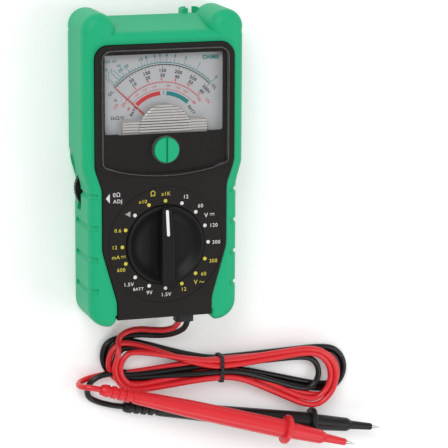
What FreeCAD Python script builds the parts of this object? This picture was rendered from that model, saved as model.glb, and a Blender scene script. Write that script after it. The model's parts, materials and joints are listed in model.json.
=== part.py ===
import FreeCAD, Part

# Pocket analog multimeter in a rubber holster, lying on its back with its test leads tied in a hank.
# Millimetres. X to the right, Y to the top of the meter, Z out of its face. The origin is the middle
# of the holster's box on the surface that it lies on.

import math
import os

import Sketcher

Vector = FreeCAD.Vector
Rotation = FreeCAD.Rotation
Placement = FreeCAD.Placement

UP = Vector(0, 0, 1)

DIMENSIONS = {
    "half_length": 72.0,
    "top_wall": 67.8,
    "ear_radius": 8.0,
    "rim_round": 4.8,
    "back_round": 7.6,
    "half_width_top": 37.8,
    "half_width_low": 35.1,
    "rim_level": 33.2,
    "lip_level": 31.0,
    "back_level": 7.2,
    "back_wall": 1.8,
    "case_half_top": 34.3,
    "case_half_low": 31.0,
    "case_back": 9.2,
    "case_split": 17.0,
    "face_level": 35.0,
    "case_wall": 2.0,
    "case_bottom": -68.2,
    "case_top": 60.2,
    "slot_low": 10.2,
    "slot_depth": 5.8,
    "groove_radius": 1.3,
    "groove_pitch": 14.6,
    "groove_start": -10.6,
    "recess_half": 25.6,
    "clip_across": 21.2,
    "clip_level": 3.4,
    "clip_radius": 3.7,
    "cover_base": 33.8,
    "cover_thick": 2.4,
    "cover_half": 29.7,
    "dial_level": 29.2,
    "dial_thick": 0.5,
    "needle_level": 30.2,
    "needle_reach": 31.0,
    "pivot_place": 17.5,
    "screw_place": 10.0,
    "screw_radius": 5.75,
    "screw_top": 37.1,
    "pin_offset": 1.2,
    "knob_place": -34.0,
    "knob_radius": 18.3,
    "knob_base": 30.8,
    "knob_rim": 35.6,
    "bar_top": 39.8,
    "bar_width": 6.0,
    "well_radius": 18.6,
    "well_floor": 30.4,
    "hub_radius": 5.9,
    "rotor_radius": 15.0,
    "rotor_base": 24.9,
    "rotor_thick": 3.1,
    "ball_radius": 1.5,
    "ball_circle": 15.65,
    "notch_circle": 16.1,
    "ball_level": 26.6,
    "board_level": 22.6,
    "board_thick": 1.6,
    "wheel_radius": 10.9,
    "wheel_base": 11.6,
    "wheel_thick": 3.0,
    "wheel_across": -26.0,
    "wheel_along": -10.0,
    "cell_radius": 7.1,
    "cell_length": 49.2,
    "fuse_radius": 2.5,
    "fuse_length": 20.0,
    "lead_diameter": 2.8,
    "gland_across": 13.5,
    "gland_level": 18.0,
    "probe_radius": 4.5,
    "guard_radius": 7.0,
    "guard_place": 94.3,
}

doc = FreeCAD.newDocument("multimeter")
sheet = doc.addObject("Spreadsheet::Sheet", "Dimensions")
for row, (alias, number) in enumerate(DIMENSIONS.items(), start=1):
    sheet.set(f"A{row}", alias)
    sheet.set(f"B{row}", str(number))
    sheet.setAlias(f"B{row}", alias)
doc.recompute()

nodes = []


def value(alias):
    """A driving dimension, read from the sheet."""
    return float(sheet.get(alias))


def bind(feature, **expressions):
    """Bind a feature's properties to expressions; a bare alias stands for its cell."""
    for prop, expression in expressions.items():
        if expression in DIMENSIONS:
            expression = f"Dimensions.{expression}"
        feature.setExpression(prop.replace("__", "."), expression)


def keep(feature, label):
    """Name a finished sub-part and put it on the list to be written."""
    feature.Label = label
    nodes.append(feature)
    return feature


# ---------------------------------------------------------------- outlines

def mirrored(right_half):
    """A closed outline from its right half, which runs from bottom to top."""
    return right_half + [(-x, y, radius) for x, y, radius in reversed(right_half) if x > 0]


def rounded_outline(points):
    """Lines and tangent arcs through (x, y, corner radius) points, closed."""
    count = len(points)
    corners = []
    for index, (x, y, radius) in enumerate(points):
        here = Vector(x, y, 0)
        before = Vector(*points[index - 1][:2], 0)
        after = Vector(*points[(index + 1) % count][:2], 0)
        back = (before - here).normalize()
        ahead = (after - here).normalize()
        half = back.getAngle(ahead) / 2
        if radius <= 0 or abs(half - math.pi / 2) < 1e-6:
            corners.append((here, here, here))
            continue
        reach = radius / math.tan(half)
        middle = here + (back + ahead).normalize() * (radius / math.sin(half) - radius)
        corners.append((here + back * reach, middle, here + ahead * reach))
    edges = []
    for index, (start, middle, end) in enumerate(corners):
        if start != end:
            edges.append(Part.Arc(start, middle, end))
        following = corners[(index + 1) % count][0]
        if end.distanceToPoint(following) > 1e-6:
            edges.append(Part.LineSegment(end, following))
    return edges


def box_outline(low_x, low_y, high_x, high_y, radius=0.0):
    corners = [(low_x, low_y), (high_x, low_y), (high_x, high_y), (low_x, high_y)]
    return [(x, y, radius) for x, y in corners]


# ---------------------------------------------------------------- sketches and features

def new_body(label):
    body = doc.addObject("PartDesign::Body", label)
    return keep(body, label)


def new_sketch(body, level=0.0, plane="XY_Plane", level_expression=None):
    """An empty sketch on one of the body's own planes, moved along the plane's normal."""
    sketch = body.newObject("Sketcher::SketchObject", "Sketch")
    support = next(item for item in body.Origin.OriginFeatures if item.Role == plane)
    sketch.AttachmentSupport = (support, [""])
    sketch.MapMode = "FlatFace"
    sketch.AttachmentOffset = Placement(Vector(0, 0, level), Rotation())
    if level_expression:
        bind(sketch, AttachmentOffset__Base__z=level_expression)
    return sketch


def draw_outline(sketch, points):
    sketch.addGeometry(rounded_outline(points), False)


def draw_circle(sketch, x, y, radius, expression=None):
    """A circle with its place and size dimensioned; expression names the cell of its radius."""
    index = sketch.addGeometry(Part.Circle(Vector(x, y, 0), UP, radius), False)
    sketch.addConstraint(Sketcher.Constraint("DistanceX", index, 3, x))
    sketch.addConstraint(Sketcher.Constraint("DistanceY", index, 3, y))
    number = sketch.addConstraint(Sketcher.Constraint("Radius", index, radius))
    if expression:
        bind(sketch, **{f"Constraints[{number}]": expression})


def pad(body, sketch, length, expression=None):
    feature = body.newObject("PartDesign::Pad", "Pad")
    feature.Profile = sketch
    feature.Length = length
    if expression:
        bind(feature, Length=expression)
    sketch.Visibility = False
    return feature


def pocket(body, sketch, depth, up=False):
    """Cut the sketch down by depth, or up."""
    before = volume(body)
    feature = body.newObject("PartDesign::Pocket", "Pocket")
    feature.Profile = sketch
    feature.Length = depth
    feature.Reversed = up
    doc.recompute()
    if not volume(body) < before - 1e-3:
        raise RuntimeError(f"a pocket in {body.Label} cut nothing")
    return feature


def volume(body):
    doc.recompute()
    return body.Shape.Volume


def prism(body, points, low, high, low_expression=None, length_expression=None):
    """Pad an outline from one level to another."""
    sketch = new_sketch(body, low, level_expression=low_expression)
    draw_outline(sketch, points)
    return pad(body, sketch, high - low, length_expression)


def cut_prism(body, points, low, high):
    """Cut an outline out between two levels."""
    sketch = new_sketch(body, high)
    draw_outline(sketch, points)
    return pocket(body, sketch, high - low)


def cylinder(body, x, y, radius, low, high, radius_expression=None, low_expression=None):
    sketch = new_sketch(body, low, level_expression=low_expression)
    draw_circle(sketch, x, y, radius, radius_expression)
    return pad(body, sketch, high - low)


def cut_cylinders(body, places, radius, low, high, expression=None):
    """Cut equal round holes at (x, y) places between two levels."""
    sketch = new_sketch(body, high)
    for x, y in places:
        draw_circle(sketch, x, y, radius, expression)
    return pocket(body, sketch, high - low)


def round_edges(body, chosen, radius, expression=None):
    """Fillet the edges of the body's tip that chosen(edge) accepts."""
    doc.recompute()
    base = body.Tip
    names = [f"Edge{number}" for number, edge in enumerate(base.Shape.Edges, start=1) if chosen(edge)]
    feature = body.newObject("PartDesign::Fillet", "Fillet")
    feature.Base = (base, names)
    feature.Radius = radius
    if expression:
        bind(feature, Radius=expression)
    return feature


def at_level(level):
    """Accept the edges that lie at one height."""
    return lambda edge: abs(edge.BoundBox.ZMin - level) < 1e-4 and abs(edge.BoundBox.ZMax - level) < 1e-4


def ring_places(count, radius, x=0.0, y=0.0, first=0.0):
    """Places spread evenly round a circle, the first one at an angle from +X in degrees."""
    angles = [math.radians(first + 360.0 / count * index) for index in range(count)]
    return [(x + radius * math.cos(angle), y + radius * math.sin(angle)) for angle in angles]


def solid_node(label, shapes, placement=Placement()):
    """A sub-part of Part solids: one solid, or a group of separate ones."""
    feature = doc.addObject("Part::Feature", label)
    feature.Shape = shapes[0] if len(shapes) == 1 else Part.makeCompound(shapes)
    feature.Placement = placement
    return keep(feature, label)


def bar(x, y, z, width, depth, height):
    """A box with its low corner at x, y, z."""
    return Part.makeBox(width, depth, height, Vector(x, y, z))


def rod(x, y, z, radius, height, direction=UP):
    return Part.makeCylinder(radius, height, Vector(x, y, z), direction)


# ---------------------------------------------------------------- the holster

def case_outline(grow=0.0):
    """The outline of both case halves, grown outwards by a clearance."""
    low = value("case_half_low") + grow
    top = value("case_half_top") + grow
    return mirrored([
        (low, value("case_bottom") - grow, 7.0),
        (low, -7.5, 10.0),
        (top, 2.0, 10.0),
        (top, value("case_top") + grow, 7.0),
    ])


def opening_outline(grow=0.0, bottom=-80.0, top=58.1):
    """The holster's front opening, which runs out between its two lower lobes."""
    return mirrored([
        (22.6 + grow, bottom, 0.0),
        (22.6 + grow, -60.0, 14.0),
        (29.5 + grow, -36.0, 16.0),
        (29.5 + grow, -7.5, 10.0),
        (32.8 + grow, 2.0, 10.0),
        (32.8 + grow, top + grow, 6.5),
    ])


def holster_outline():
    """The outer outline without the ears: a wide top, a waist, and two lower corners."""
    wide = value("half_width_top")
    waist = value("half_width_low")
    return mirrored([
        (waist, -value("half_length"), 9.5),
        (waist, -7.5, 12.0),
        (wide, 2.0, 12.0),
        (wide, value("top_wall"), value("ear_radius")),
    ])


def notch_outline():
    """The gap between the two lobes at the lower end; its sides flare at the end."""
    return mirrored([
        (27.0, -76.0, 0.0),
        (22.6, -68.6, 5.0),
        (22.6, -66.0, 0.0),
    ])


def at_notch_side(edge):
    """Accept the long edges of the gap's two sides, on the rim and on the back."""
    box = edge.BoundBox
    across = min(abs(box.XMin), abs(box.XMax))
    level = box.ZMax - box.ZMin < 4.5
    return level and box.YMax < -66.5 and 22.0 < across < 26.0 and edge.Length > 0.5


def make_holster():
    body = new_body("holster")
    rim = value("rim_level")
    prism(body, holster_outline(), 0.0, rim, length_expression="rim_level")
    round_edges(body, at_level(0.0), value("back_round"), "back_round")
    round_edges(body, at_level(rim), value("rim_round"), "rim_round")
    cut_top_slope(body)
    add_ears(body)
    cut_prism(body, notch_outline(), -1.0, rim + 1.0)
    round_edges(body, at_notch_side, 1.6)
    cut_prism(body, case_outline(0.15), value("back_level") + value("back_wall"), value("lip_level"))
    cut_prism(body, opening_outline(), value("lip_level") - 1.0, rim + 1.0)
    add_clip_lips(body)
    cut_back_recess(body)
    cut_thumb_slot(body)
    cut_grip_grooves(body)


def cut_top_slope(body):
    """Lean the top wall back between the ears, with a soft edge along the rim."""
    half = 27.0
    low = 8.0
    high = 40.0
    lean = 6.26
    wall = value("top_wall")
    sketch = new_sketch(body, -half, plane="YZ_Plane")
    draw_outline(sketch, [(wall, low, 0.0), (80.0, low, 0.0), (80.0, high, 0.0), (wall - lean, high, 0.0)])
    pocket(body, sketch, 2 * half, up=True)
    round_edges(body, on_slope_edge, 4.0)


def on_slope_edge(edge):
    """Accept the long edge between the rim and the sloping top wall."""
    box = edge.BoundBox
    return box.XLength > 50.0 and 62.5 < box.YMin < 64.0 and box.ZMin > value("rim_level") - 0.5


def add_ears(body):
    """Two round ears at the top corners, rounded at the rim and at the back like the walls."""
    radius = value("ear_radius")
    rim = value("rim_level")
    for side in (-1, 1):
        sketch = new_sketch(body, radius - value("half_length"), plane="XZ_Plane")
        sketch.AttachmentOffset.Base.x = side * (value("half_width_top") - radius)
        draw_outline(sketch, [(0.0, 0.0, 0.0), (radius, 0.0, value("back_round")),
                              (radius, rim, value("rim_round")), (0.0, rim, 0.0)])
        ear = body.newObject("PartDesign::Revolution", "Ear")
        ear.Profile = sketch
        ear.ReferenceAxis = (sketch, ["V_Axis"])
        ear.Angle = 360.0


def add_clip_lips(body):
    """The end of the right clip that stands out past the top wall; its channel parts it into two lips."""
    middle = value("clip_across")
    reach = value("top_wall") + 2.1
    prism(body, box_outline(middle - 4.8, 62.0, middle + 4.6, reach, 1.4), 0.0, 6.4)


def cut_back_recess(body):
    """Hollow the back between the side rails, leaving two clips for the probes at the top end."""
    half = value("recess_half")
    recess = mirrored([
        (half, -60.0, 6.0),
        (half, 52.0, 3.0),
    ])
    cut_prism(body, recess, -1.0, value("back_level"))
    top_recess = mirrored([
        (16.0, 50.0, 0.0),
        (16.0, 80.0, 0.0),
    ])
    cut_prism(body, top_recess, -1.0, value("back_level"))
    sketch = new_sketch(body, -80.0, plane="XZ_Plane")
    radius = value("clip_radius")
    for side in (-1, 1):
        draw_circle(sketch, side * value("clip_across"), value("clip_level"), radius, "clip_radius")
    pocket(body, sketch, 40.0, up=True)


def cut_thumb_slot(body):
    """The slot in the left wall that bares the ohm wheel's rim, in a shallow scallop for a thumb."""
    middle = value("wheel_along") + 0.7
    scallop = 45.0
    depth = 1.3
    place = (depth - value("half_width_low") - scallop, middle)
    cut_cylinders(body, [place], scallop, 3.0, 17.5)
    sketch = new_sketch(body, value("slot_low"))
    draw_outline(sketch, box_outline(-45.0, middle - 10.5, -29.0, middle + 10.5, 1.5))
    bind(pocket(body, sketch, value("slot_depth"), up=True), Length="slot_depth")


def cut_grip_grooves(body):
    """Four grooves up each side that follow the rounded edge on to the front."""
    radius = value("groove_radius")
    proud = 0.4
    bend_radius = value("rim_round") + proud
    across = value("half_width_low") - value("rim_round")
    level = value("rim_level") - value("rim_round")
    start = value("groove_start")
    places = [(side, start - value("groove_pitch") * index) for side in (-1, 1) for index in range(4)]
    upright = [(side * (across + bend_radius), y) for side, y in places]
    cut_cylinders(body, upright, radius, 9.0, level, "groove_radius")
    for side, y in places:
        bend = body.newObject("PartDesign::SubtractiveTorus", "Bend")
        bend.Radius1 = bend_radius
        bind(bend, Radius2="groove_radius")
        bend.Angle3 = 80.0
        bend.Placement = Placement(Vector(side * across, y, level), Rotation(Vector(1, 0, 0), 90))
        if side < 0:
            bend.Placement.Rotation = Rotation(UP, 180) * bend.Placement.Rotation


# ---------------------------------------------------------------- the case

BOSS_PLACES = [(-29.6, 55.6), (29.6, 55.6), (-24.0, -45.0), (24.0, -45.0)]


def shrunk_case():
    return case_outline(-value("case_wall"))


def make_rear_case():
    body = new_body("rear_case")
    low = value("case_back")
    split = value("case_split")
    prism(body, case_outline(), low, split, "case_back")
    round_edges(body, at_level(low), 1.5)
    cut_prism(body, shrunk_case(), low + 1.8, split)
    for x, y in BOSS_PLACES:
        cylinder(body, x, y, 2.6, low + 1.0, split)
    cut_cylinders(body, BOSS_PLACES, 1.6, low - 1.0, split + 1.0)
    cut_cylinders(body, BOSS_PLACES, 2.2, low - 1.0, low + 2.0)
    middle = value("wheel_along")
    half = value("wheel_radius") + 0.3
    cut_prism(body, box_outline(-45.0, middle - half, -27.0, middle + half), 11.2, 15.2)


def make_front_case():
    body = new_body("front_case")
    split = value("case_split")
    face = value("face_level")
    lip = value("lip_level") - 0.2
    prism(body, case_outline(), split, lip, "case_split")
    prism(body, opening_outline(-0.25, value("case_bottom")), lip - 0.5, face - 0.5)
    round_edges(body, at_level(face - 0.5), 0.8)
    prism(body, bezel_outline(), lip, face)
    cut_prism(body, shrunk_case(), split, value("well_floor") - 2.0)
    cut_prism(body, opening_outline(-2.25, value("case_bottom") + 2.0), split, 32.6)
    add_well(body)
    cut_window(body)
    for x, y in BOSS_PLACES:
        cylinder(body, x, y, 2.6, split, 28.4)
    cut_cylinders(body, BOSS_PLACES, 1.15, split - 1.0, 26.5)
    cut_gland_hole(body)
    cut_range_circle(body, face - 0.5)


def cut_range_circle(body, level):
    """A fine groove round the ranges printed about the knob."""
    outer = 27.2
    width = 0.5
    depth = 0.2
    sketch = new_sketch(body, level)
    for radius in (outer, outer - width):
        draw_circle(sketch, 0.0, value("knob_place"), radius)
    pocket(body, sketch, depth)


def bezel_outline():
    """The raised field round the window: its lower edge is an arch."""
    return mirrored([
        (0.0, -6.0, 120.0),
        (32.5, 1.8, 4.0),
        (32.5, 57.8, 6.2),
    ])


def cover_outline(grow=0.0):
    half = value("cover_half") + grow
    return mirrored([
        (0.0, -3.0 - grow, 132.0),
        (half, 2.6 - grow, 5.0),
        (half, 55.8 + grow, 4.5),
    ])


def add_well(body):
    """The round well that the knob turns in, with the detent ring under its floor."""
    y = value("knob_place")
    floor = value("well_floor")
    cylinder(body, 0.0, y, value("well_radius") + 1.8, floor - 1.8, 32.8)
    cylinder(body, 0.0, y, 19.6, value("rotor_base") + 0.2, floor - 1.7)
    cut_cylinders(body, [(0.0, y)], 17.2, value("rotor_base"), floor - 1.8)
    cut_cylinders(body, [(0.0, y)], value("well_radius"), floor, value("face_level") + 1.0, "well_radius")
    cut_cylinders(body, [(0.0, y)], value("hub_radius") + 0.08, floor - 5.0, floor + 1.0)
    notches = ring_places(16, value("notch_circle"), y=y, first=90.0)
    cut_cylinders(body, notches, value("ball_radius") + 0.08, value("rotor_base"), floor - 1.8)


def cut_window(body):
    """The dial window, its light wall, the cover's seat and the hole of the zero screw."""
    prism(body, box_outline(-29.3, 16.0, 29.3, 54.7), 30.2, 33.0)
    cut_prism(body, box_outline(-28.2, 17.1, 28.2, 53.6, 1.0), 30.0, 36.0)
    cut_prism(body, box_outline(-21.0, 15.0, 21.0, 17.5), 30.0, 32.8)
    cut_prism(body, cover_outline(0.1), value("cover_base"), 36.0)
    cut_cylinders(body, [(0.0, value("screw_place"))], value("screw_radius") + 0.08, 30.0, 36.0)


def cut_gland_hole(body):
    """The hole in the bottom wall that the gland sits in."""
    sketch = new_sketch(body, 72.0, plane="XZ_Plane")
    across = value("gland_across")
    level = value("gland_level")
    draw_outline(sketch, box_outline(across - 4.0, level - 0.95, across + 4.0, level + 3.0))
    pocket(body, sketch, 7.0)


def make_window_cover():
    body = new_body("window_cover")
    prism(body, cover_outline(), value("cover_base"), value("cover_base") + value("cover_thick"),
          "cover_base", "cover_thick")
    round_edges(body, at_level(value("cover_base") + value("cover_thick")), 1.0)
    cut_cylinders(body, [(0.0, value("screw_place"))], value("screw_radius") + 0.1, 33.0, 37.0)


def make_case_screws():
    low = value("case_back")
    screws = []
    for x, y in BOSS_PLACES:
        head = rod(x, y, low, 2.1, 1.95)
        shank = rod(x, y, low + 1.9, 1.1, 13.5)
        slot = bar(x - 1.4, y - 0.3, low, 2.8, 0.6, 0.8)
        cross = bar(x - 0.3, y - 1.4, low, 0.6, 2.8, 0.8)
        screws.append(head.fuse(shank).cut(slot).cut(cross))
    solid_node("case_screws", screws)


# ---------------------------------------------------------------- the movement

def make_dial_plate():
    body = new_body("dial_plate")
    level = value("dial_level")
    prism(body, box_outline(-29.2, 13.0, 29.2, 53.25, 1.0), level, level + value("dial_thick"),
          "dial_level", "dial_thick")
    pivot = value("pivot_place")
    cut_cylinders(body, [(0.0, pivot)], 10.6, level - 1.0, level + 1.0)
    cut_prism(body, box_outline(-10.6, 10.0, 10.6, pivot), level - 1.0, level + 1.0)


def make_movement_cover():
    """The ribbed dome over the pivot: a half disc on a stepped base, on two feet."""
    body = new_body("movement_cover")
    pivot = value("pivot_place")
    under = 31.2
    base_top = 32.3
    dome_top = 33.3
    prism(body, [(-19.4, 16.8, 0.0), (20.2, 16.8, 0.0), (20.2, 23.2, 1.0), (-19.4, 23.2, 1.0)], under,
          base_top)
    dome = [(-11.9, 17.6, 0.0), (12.7, 17.6, 0.0), (12.7, pivot + 12.9, 12.2), (-11.9, pivot + 12.9, 12.2)]
    prism(body, dome, under, dome_top)
    round_edges(body, at_level(dome_top), 0.7)
    first = 17.6
    pitch = 1.25
    width = 0.45
    for count, top, depth in ((5, base_top, 0.35), (10, dome_top, 0.45)):
        grooves = new_sketch(body, top + 2.0)
        for index in range(count):
            y = first + pitch * index
            draw_outline(grooves, box_outline(-22.0, y, 22.0, y + width))
        pocket(body, grooves, 2.0 + depth)
    foot_low = value("dial_level") + value("dial_thick")
    for x in (-18.2, 18.9):
        prism(body, box_outline(x - 1.1, 17.0, x + 1.1, 19.2), foot_low, 31.4)


def make_needle():
    """The pointer: a hub, an arm that steps up over the dial, and a balance tail. It rests on zero."""
    body = new_body("needle")
    pivot = value("pivot_place")
    level = value("needle_level")
    cylinder(body, 0.0, pivot, 1.4, 25.4, 26.0)
    prism(body, box_outline(-0.35, pivot, 0.35, pivot + 9.4), 25.5, 25.9)
    prism(body, box_outline(-0.35, pivot + 8.8, 0.35, pivot + 9.4), 25.5, level + 0.3)
    reach = value("needle_reach")
    prism(body, [(-0.35, pivot + 8.8, 0.0), (0.35, pivot + 8.8, 0.0), (0.12, pivot + reach, 0.0),
                 (-0.12, pivot + reach, 0.0)], level, level + 0.3)
    prism(body, box_outline(-0.5, pivot - 4.4, 0.5, pivot - 1.0), 25.4, 26.0)
    prism(body, box_outline(-4.4, pivot - 0.3, 4.4, pivot + 0.3), 25.5, 25.9)
    cut_cylinders(body, [(0.0, pivot)], 0.45, 25.0, 26.5)
    swing(body, NEEDLE_REST)


NEEDLE_REST = 47.0


def swing(body, degrees):
    """Turn a finished body about the movement's pivot."""
    pivot = Vector(0, value("pivot_place"), 0)
    body.Placement = Placement(Vector(), Rotation(UP, degrees), pivot)


def make_moving_coil():
    """The wound frame round the core, on its two half staffs, turned with the needle."""
    pivot = value("pivot_place")
    frame = bar(-8.8, pivot - 2.5, 14.0, 17.6, 5.0, 11.0)
    hollow = bar(-7.2, pivot - 3.0, 14.7, 14.4, 6.0, 9.6)
    upper = rod(0.0, pivot, 24.9, 0.45, 2.5)
    lower = rod(0.0, pivot, 12.5, 0.45, 1.6)
    coil = frame.cut(hollow).fuse([upper, lower])
    feature = solid_node("moving_coil", [coil])
    swing(feature, NEEDLE_REST)


def make_magnet_system():
    pivot = value("pivot_place")
    core = doc.addObject("Part::Cylinder", "core_magnet")
    bind(core, Placement__Base__y="pivot_place")
    core.Radius = 6.4
    core.Height = 9.0
    core.Placement.Base.z = 15.0
    keep(core, "core_magnet")
    ring = rod(0.0, pivot, 15.0, 11.8, 9.0).cut(rod(0.0, pivot, 14.0, 9.6, 11.0))
    spoke = bar(-1.6, pivot - 10.4, 16.0, 3.2, 20.8, 7.0).cut(rod(0.0, pivot, 14.0, 6.45, 11.0))
    solid_node("yoke_ring", [ring.fuse(spoke)])


def make_movement_frame():
    """The moulded lower bridge with its two columns, and the strip across their tops."""
    pivot = value("pivot_place")
    low = bar(-16.5, pivot - 3.5, 11.1, 33.0, 7.0, 1.8)
    seats = [bar(side * 12.0 - 1.6, pivot - 3.5, 12.8, 3.2, 7.0, 2.15) for side in (-1, 1)]
    columns = [rod(side * 14.5, pivot, 12.5, 2.0, 14.6) for side in (-1, 1)]
    bore = rod(0.0, pivot, 10.0, 1.53, 4.0)
    frame = low.fuse(seats + columns).cut(bore)
    frame = frame.cut(rod(0.0, pivot, 14.95, 11.85, 10.0))
    solid_node("movement_frame", [frame])
    strip = bar(-16.5, pivot - 2.6, 27.1, 33.0, 5.2, 1.2)
    posts = [rod(side * 14.5, pivot, 28.2, 1.9, 1.0) for side in (-1, 1)]
    solid_node("upper_bridge", [strip.fuse(posts).cut(rod(0.0, pivot, 26.0, 1.53, 4.0))])


def make_jewel_screws():
    pivot = value("pivot_place")
    upper = rod(0.0, pivot, 26.9, 1.5, 2.3).cut(rod(0.0, pivot, 26.5, 0.5, 1.2))
    upper = upper.cut(bar(-1.6, pivot - 0.2, 28.7, 3.2, 0.4, 1.0))
    lower = rod(0.0, pivot, 11.1, 1.5, 1.9).cut(rod(0.0, pivot, 12.2, 0.5, 1.2))
    solid_node("jewel_screws", [upper, lower])


def spiral_spring(inner, pitch, half_turns, level, height):
    """A flat hairspring made of half circles, each larger than the one before."""
    pivot = value("pivot_place")
    thick = 0.16
    solids = []
    radius = inner
    centre = 0.0
    for index in range(half_turns):
        side = 1 if index % 2 == 0 else -1
        middle = Vector(centre, pivot, level)
        outer = Part.makeCylinder(radius + thick / 2, height, middle)
        hollow = Part.makeCylinder(radius - thick / 2, height, middle)
        half = bar(centre - 12.0, pivot if side > 0 else pivot - 12.0, level, 24.0, 12.0, height)
        solids.append(outer.cut(hollow).common(half))
        centre += side * pitch / 2
        radius += pitch / 2
    return solids[0].fuse(solids[1:]).removeSplitter()


def make_hairsprings():
    solid_node("upper_hairspring", [spiral_spring(0.7, 0.55, 15, 26.35, 0.4)])
    solid_node("lower_hairspring", [spiral_spring(0.7, 0.55, 15, 13.2, 0.4)])


def make_zero_lever():
    """The lever that the zero screw's pin swings: it carries the upper hairspring's outer end."""
    pivot = value("pivot_place")
    eye = rod(0.0, pivot, 28.4, 3.0, 0.6)
    arm = bar(-1.7, value("screw_place") - 0.6, 28.4, 3.4, 6.0, 0.6)
    slot = bar(-0.78, value("screw_place") - 1.0, 28.0, 1.56, 3.1, 2.0)
    tail = bar(-0.6, pivot + 2.5, 28.4, 1.2, 3.2, 0.6)
    tab = bar(-0.6, pivot + 5.2, 26.9, 1.2, 0.5, 2.1)
    lever = eye.fuse([arm, tail, tab]).cut(slot).cut(rod(0.0, pivot, 28.0, 1.56, 2.0))
    solid_node("zero_lever", [lever])


def make_zero_screw():
    body = new_body("zero_screw")
    y = value("screw_place")
    top = value("screw_top")
    cylinder(body, 0.0, y, 6.5, 31.5, 32.5)
    cylinder(body, 0.0, y, value("screw_radius"), 32.4, top, "screw_radius")
    round_edges(body, at_level(top), 0.4)
    cut_prism(body, box_outline(-0.45, y - 8.0, 0.45, y + 8.0), top - 1.2, top + 1.0)
    cylinder(body, 0.0, y + value("pin_offset"), 0.7, 28.1, 31.6)


# ---------------------------------------------------------------- the range switch

def make_range_knob():
    """A dished disc with a grip bar right across it, and a keyed hub below."""
    body = new_body("range_knob")
    y = value("knob_place")
    radius = value("knob_radius")
    base = value("knob_base")
    rim = value("knob_rim")
    sketch = new_sketch(body, -y, plane="XZ_Plane")
    draw_outline(sketch, [(0.0, base, 0.0), (radius, base, 0.0), (radius, rim, 0.9), (radius - 1.4, rim, 0.4),
                          (radius - 5.5, rim - 3.0, 9.0), (0.0, rim - 3.4, 0.0)])
    turned = body.newObject("PartDesign::Revolution", "Revolution")
    turned.Profile = sketch
    turned.ReferenceAxis = (sketch, ["V_Axis"])
    turned.Angle = 360.0
    half = value("bar_width") / 2
    end = math.sqrt((radius - 0.4) ** 2 - half ** 2)
    top = value("bar_top")
    prism(body, [(-half, y - end, 0.8), (half, y - end, 0.8), (half, y + 3.0, 0.0),
                 (half - 0.8, y + end, 0.6), (0.8 - half, y + end, 0.6), (-half, y + 3.0, 0.0)],
          base + 0.5, top)
    slope_bar(body, 0.0)
    round_edges(body, on_bar_top, 0.6)
    cut_prism(body, box_outline(-0.7, y + 4.8, 0.7, y + 16.6, 0.69), top - 3.4, top + 1.0)
    cylinder(body, 0.0, y, value("hub_radius"), value("rotor_base") + value("rotor_thick") + 0.05, base + 0.5,
             "hub_radius")
    cylinder(body, 0.0, y, 3.0, value("rotor_base") + 0.3, value("well_floor"))


def slope_bar(body, lift):
    """Slope the pointing half of the bar down to its end; lift raises the slope."""
    y = value("knob_place")
    top = value("bar_top") + lift
    sketch = new_sketch(body, -5.0, plane="YZ_Plane")
    draw_outline(sketch, [(y + 3.0, top, 0.0), (y + 20.0, top - 3.0, 0.0), (y + 20.0, top + 3.0, 0.0),
                          (y + 3.0, top + 3.0, 0.0)])
    pocket(body, sketch, 10.0, up=True)


def on_bar_top(edge):
    """Accept the edges round the top of the grip bar, level or sloping."""
    box = edge.BoundBox
    return box.ZMin > value("bar_top") - 2.9 and (box.XMax > 1.0 or box.XMin < -1.0) and edge.Length > 1.0


def make_knob_pointer():
    """The white line let into the upper half of the bar."""
    body = new_body("knob_pointer")
    y = value("knob_place")
    top = value("bar_top")
    prism(body, box_outline(-0.66, y + 4.84, 0.66, y + 16.56, 0.65), top - 3.35, top + 0.04)
    slope_bar(body, 0.04)


def make_switch_rotor():
    body = new_body("switch_rotor")
    y = value("knob_place")
    base = value("rotor_base")
    top = base + value("rotor_thick")
    cylinder(body, 0.0, y, value("rotor_radius"), base, top, "rotor_radius", "rotor_base")
    cut_cylinders(body, [(0.0, y)], 3.05, base - 1.0, top + 1.0)
    slots = [box_outline(8.4, y - 1.6, 20.0, y + 1.6), box_outline(-20.0, y - 1.6, -8.4, y + 1.6)]
    for outline in slots:
        cut_prism(body, outline, base + 0.1, top + 1.0)


def make_wipers():
    """Three brass fingers under the rotor, with dimples that ride on the board's tracks."""
    y = value("knob_place")
    base = value("rotor_base")
    board_top = value("board_level") + value("board_thick")
    fingers = []
    for x, place in ((-3.0, 6.0), (0.0, 8.0), (3.0, 6.0)):
        blade = bar(x - 1.0, y - place - 4.0, base - 0.3, 2.0, 8.0, 0.29)
        dimple = rod(x, y - place - 3.0, board_top + 0.02, 0.6, base - 0.2 - board_top - 0.02)
        fingers.append(blade.fuse(dimple))
    solid_node("wiper_contacts", fingers)


def make_detents():
    y = value("knob_place")
    reach = value("ball_circle")
    level = value("ball_level")
    balls = [Part.makeSphere(value("ball_radius"), Vector(side * reach, y, level)) for side in (-1, 1)]
    solid_node("detent_balls", balls)
    springs = []
    for side in (-1, 1):
        coils = [Part.makeTorus(1.1, 0.22, Vector(side * (8.9 + 0.7 * turn), y, level), Vector(1, 0, 0))
                 for turn in range(8)]
        spine = rod(min(side * 8.7, side * 14.0), y + 1.1, level, 0.16, 5.3, Vector(1, 0, 0))
        springs.append(spine.fuse(coils))
    solid_node("detent_springs", springs)


# ---------------------------------------------------------------- the electrics

def make_circuit_board():
    body = new_body("circuit_board")
    level = value("board_level")
    prism(body, box_outline(-28.4, -49.4, 28.4, 4.0, 2.0), level, level + value("board_thick"),
          "board_level", "board_thick")
    cut_cylinders(body, [(0.0, value("knob_place"))], 3.4, level - 1.0, level + 3.0)
    cut_cylinders(body, BOSS_PLACES[2:], 2.8, level - 1.0, level + 3.0)


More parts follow.
